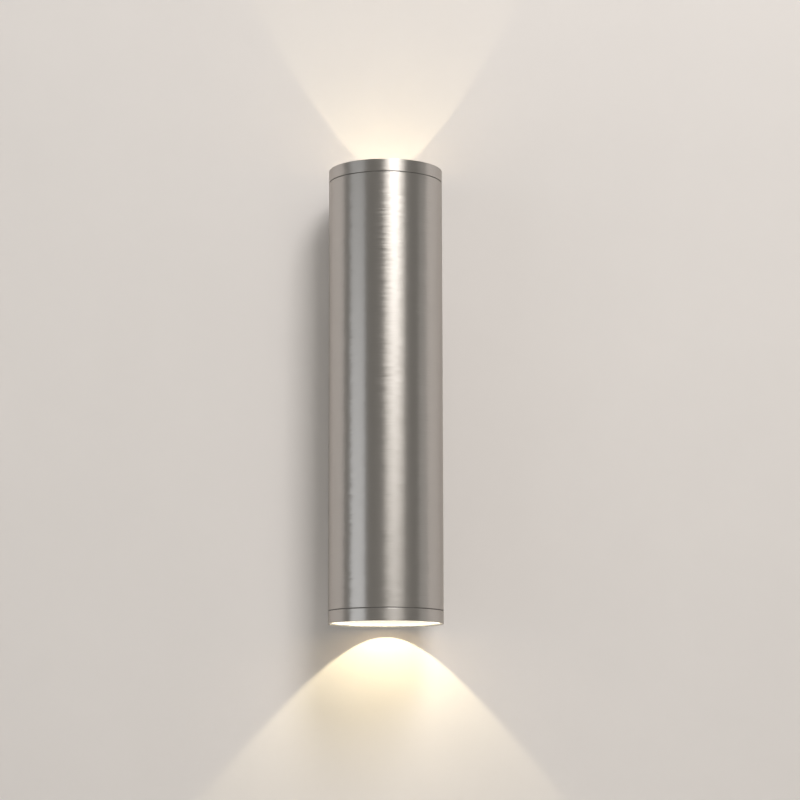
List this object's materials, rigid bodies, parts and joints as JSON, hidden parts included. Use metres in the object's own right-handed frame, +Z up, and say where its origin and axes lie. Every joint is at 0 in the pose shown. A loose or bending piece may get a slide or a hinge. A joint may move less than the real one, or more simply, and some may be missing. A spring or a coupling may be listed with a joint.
{
  "type": "tube wall light",
  "caption": "Round brushed metal tube wall light that shines up and down, with screw-in glazed end caps, twist-lock lamps and a pull-off wall bracket.",
  "frame": {"origin": "on the wall, halfway between the two wall screws", "axes": "+Z up along the tube, +Y into the wall, -Y out into the room, +X to the right seen from the room"},
  "size_m": [0.075, 0.079, 0.3],
  "materials": {
    "brushed_nickel": "satin, brushed round the tube",
    "satin_nickel_saddle": "satin plated casting",
    "zinc_plated_steel": "bright zinc plate",
    "plain_steel": "bright zinc plate",
    "spring_steel": "bare spring steel",
    "black_steel": "black oxide",
    "brass_screw": "plain",
    "brass_contact": "plain",
    "black_rubber": "matt",
    "black_foam": "closed-cell foam",
    "clear_silicone": "translucent",
    "clear_glass": "clear, polished edge",
    "white_lamp_body": "fine satin",
    "light_board": "white solder mask",
    "lamp_lens": "frosted lens, lit",
    "ceramic": "steatite, light glaze",
    "white_moulding": "fine moulded",
    "green_yellow_lead": "green with a yellow stripe",
    "white_lead": "silicone sleeve"
  },
  "bodies": {
    "wall_bracket": {"wall_bracket": "zinc_plated_steel", "cable_grommet": "black_rubber", "bracket_earth_screw": "brass_screw"},
    "light_body": {"wall_gasket": "black_foam", "mounting_saddle": "satin_nickel_saddle", "saddle_screws": "plain_steel", "saddle_nuts": "plain_steel", "body_tube": "brushed_nickel", "chassis_strip": "zinc_plated_steel", "terminal_block": "white_moulding", "terminal_clamp_screws": "plain_steel", "terminal_block_screws": "plain_steel", "body_earth_screw": "brass_screw", "earth_lead": "green_yellow_lead", "upper_lamp_leads": "white_lead", "lower_lamp_leads": "white_lead", "upper_lamp_holder": "ceramic", "upper_holder_contacts": "brass_contact", "upper_holder_screws": "plain_steel", "upper_holder_bracket": "zinc_plated_steel", "upper_holder_bracket_screws": "plain_steel", "lower_lamp_holder": "ceramic", "lower_holder_contacts": "brass_contact", "lower_holder_screws": "plain_steel", "lower_holder_bracket": "zinc_plated_steel", "lower_holder_bracket_screws": "plain_steel"},
    "left_grub_screw": {"left_grub_screw": "black_steel"},
    "right_grub_screw": {"right_grub_screw": "black_steel"},
    "upper_lens_pack": {"upper_lens_glass": "clear_glass", "upper_lens_gasket": "clear_silicone", "upper_lens_clip": "spring_steel", "upper_cap_seal": "black_rubber"},
    "upper_cap_ring": {"upper_cap_ring": "brushed_nickel"},
    "upper_lamp": {"upper_lamp_shell": "white_lamp_body", "upper_lamp_light_board": "light_board", "upper_lamp_lens": "lamp_lens", "upper_lamp_pins": "plain_steel"},
    "lower_lens_pack": {"lower_lens_glass": "clear_glass", "lower_lens_gasket": "clear_silicone", "lower_lens_clip": "spring_steel", "lower_cap_seal": "black_rubber"},
    "lower_cap_ring": {"lower_cap_ring": "brushed_nickel"},
    "lower_lamp": {"lower_lamp_shell": "white_lamp_body", "lower_lamp_light_board": "light_board", "lower_lamp_lens": "lamp_lens", "lower_lamp_pins": "plain_steel"}
  },
  "joints": [
    {"name": "light_pull_off", "type": "slide", "parent": "wall_bracket", "child": "light_body", "axis": [0, -1, 0], "range_m": [0, 0.03]},
    {"name": "left_grub_screw_out", "type": "slide", "parent": "light_body", "child": "left_grub_screw", "axis": [-1, 0, 0], "range_m": [0, 0.0025]},
    {"name": "right_grub_screw_out", "type": "slide", "parent": "light_body", "child": "right_grub_screw", "axis": [1, 0, 0], "range_m": [0, 0.0025]},
    {"name": "upper_cap_travel", "type": "slide", "parent": "light_body", "child": "upper_lens_pack", "axis": [0, 0, 1], "range_m": [0, 0.01201]},
    {"name": "upper_cap_unscrew", "type": "hinge", "parent": "upper_lens_pack", "child": "upper_cap_ring", "pos_m": [0, -0.0415, 0.141], "axis": [0, 0, 1], "range_deg": [0, 2880]},
    {"name": "upper_lamp_twist", "type": "hinge", "parent": "light_body", "child": "upper_lamp", "pos_m": [0, -0.0415, 0.083], "axis": [0, 0, 1], "range_deg": [0, 20]},
    {"name": "lower_cap_travel", "type": "slide", "parent": "light_body", "child": "lower_lens_pack", "axis": [0, 0, -1], "range_m": [0, 0.01201]},
    {"name": "lower_cap_unscrew", "type": "hinge", "parent": "lower_lens_pack", "child": "lower_cap_ring", "pos_m": [0, -0.0415, -0.141], "axis": [0, 0, -1], "range_deg": [0, 2880]},
    {"name": "lower_lamp_twist", "type": "hinge", "parent": "light_body", "child": "lower_lamp", "pos_m": [0, -0.0415, -0.083], "axis": [0, 0, -1], "range_deg": [0, 20]}
  ],
  "couplings": [
    {"joint": "upper_cap_travel", "follows": "upper_cap_unscrew", "m_per_rad": 0.00023873},
    {"joint": "lower_cap_travel", "follows": "lower_cap_unscrew", "m_per_rad": 0.00023873}
  ]
}
